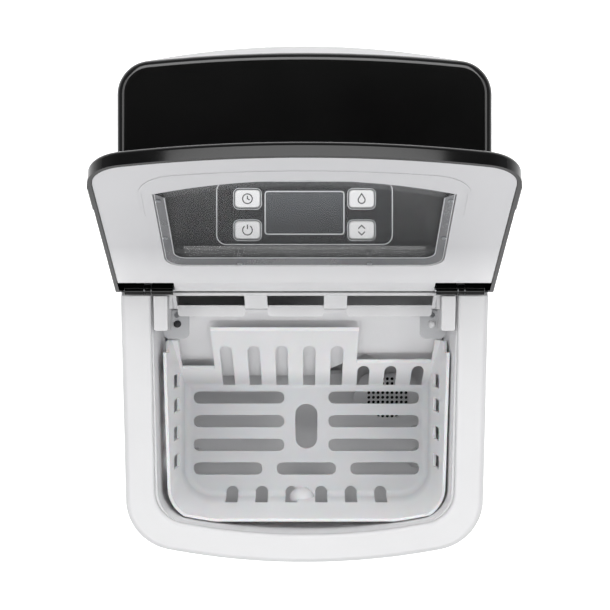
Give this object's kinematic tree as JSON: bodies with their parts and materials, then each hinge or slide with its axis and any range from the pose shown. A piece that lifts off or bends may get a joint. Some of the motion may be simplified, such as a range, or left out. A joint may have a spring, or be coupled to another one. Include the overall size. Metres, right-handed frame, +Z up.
{
  "type": "countertop ice maker",
  "caption": "Countertop ice maker with a sloped white body, a hinged black lid with a clear window, a lift-out slotted ice basket and a control panel on the black rear cover.",
  "frame": {"origin": "middle of the footprint, on the table", "axes": "+Z up, -Y towards the user, +X to the user's right"},
  "size_m": [0.2514, 0.3466, 0.4823],
  "materials": {
    "white_casing": "white painted sheet, satin",
    "white_plastic": "white moulded ABS, satin gloss",
    "black_gloss": "black high-gloss ABS",
    "well_plastic": "light grey moulded ABS",
    "basket_plastic": "translucent white polypropylene",
    "grey_panel": "dark grey printed film",
    "display": "dark display lens",
    "key_plastic": "light grey key cap",
    "clear_window": "clear polycarbonate",
    "steel": "zinc plated steel",
    "bracket_grey": "grey moulded plastic",
    "rubber": "black rubber",
    "board": "green solder mask",
    "nickel": "nickel plated copper",
    "copper": "drawn copper",
    "black_enamel": "black enamel",
    "aluminium": "pressed aluminium",
    "foam": "expanded polystyrene",
    "dark_plastic": "dark moulded nylon",
    "silicone": "translucent silicone hose"
  },
  "bodies": {
    "housing": {"base_pan": "black_enamel", "rubber_feet": "rubber", "front_wrap": "white_casing", "rear_panel": "white_plastic", "cord_gland": "dark_plastic", "top_frame": "white_plastic", "rear_cover": "black_gloss", "control_overlay": "grey_panel", "display_lens": "display", "control_board": "board", "display_module": "dark_plastic", "hinge_pins": "steel", "hinge_lugs": "dark_plastic", "reservoir_tub": "well_plastic", "foam_jacket": "foam", "evaporator_hood": "well_plastic", "evaporator": "nickel", "tray_motor": "dark_plastic", "side_blocks": "white_plastic", "sensor_brackets": "bracket_grey", "bracket_screws": "steel", "ice_sensor_receiver": "dark_plastic", "ice_sensor_emitter": "key_plastic", "pump_strainer": "well_plastic", "water_pump": "dark_plastic", "water_hose": "silicone", "level_sensor": "bracket_grey", "drain_spout": "well_plastic", "compressor": "black_enamel", "compressor_mounts": "rubber", "condenser": "aluminium", "fan_shroud": "dark_plastic", "fan_motor": "steel", "filter_drier": "copper", "refrigerant_tubes": "copper", "power_board": "board"},
    "lid": {"lid_shell": "black_gloss", "lid_liner": "white_plastic", "lid_window": "clear_window", "window_screws": "steel"},
    "basket": {"ice_basket": "basket_plastic"},
    "tray": {"water_tray": "well_plastic"},
    "shovel": {"ice_shovel": "bracket_grey"},
    "fan": {"fan_blade": "dark_plastic"},
    "timer_key": {"timer_button": "key_plastic"},
    "power_key": {"power_button": "key_plastic"},
    "clean_key": {"clean_button": "key_plastic"},
    "select_key": {"select_button": "key_plastic"},
    "drain_plug": {"drain_cap": "rubber"}
  },
  "joints": [
    {"name": "lid_hinge", "type": "hinge", "parent": "housing", "child": "lid", "pos_m": [0, 0.0123, 0.3098], "axis": [-1, 0, 0], "range_deg": [-125.6, 0]},
    {"name": "basket_lift", "type": "slide", "parent": "housing", "child": "basket", "axis": [0, 0, 1], "range_m": [0, 0.16]},
    {"name": "tray_tilt", "type": "hinge", "parent": "housing", "child": "tray", "pos_m": [0, 0.049, 0.262], "axis": [1, 0, 0], "range_deg": [0, 60]},
    {"name": "shovel_swing", "type": "hinge", "parent": "housing", "child": "shovel", "pos_m": [0, 0.049, 0.284], "axis": [1, 0, 0], "range_deg": [-48, 0]},
    {"name": "fan_spin", "type": "hinge", "parent": "housing", "child": "fan", "pos_m": [0.052, 0.124, 0.094], "axis": [0, 1, 0], "continuous": true},
    {"name": "drain_pull", "type": "slide", "parent": "housing", "child": "drain_plug", "axis": [1, 0, 0], "range_m": [0, 0.025]},
    {"name": "timer_press", "type": "slide", "parent": "housing", "child": "timer_key", "axis": [0, 0, -1], "range_m": [0, 0.001], "stiffness_N_per_m": 400},
    {"name": "power_press", "type": "slide", "parent": "housing", "child": "power_key", "axis": [0, 0, -1], "range_m": [0, 0.001], "stiffness_N_per_m": 400},
    {"name": "clean_press", "type": "slide", "parent": "housing", "child": "clean_key", "axis": [0, 0, -1], "range_m": [0, 0.001], "stiffness_N_per_m": 400},
    {"name": "select_press", "type": "slide", "parent": "housing", "child": "select_key", "axis": [0, 0, -1], "range_m": [0, 0.001], "stiffness_N_per_m": 400}
  ],
  "couplings": [
    {"joint": "shovel_swing", "follows": "tray_tilt", "ratio": -0.8}
  ]
}
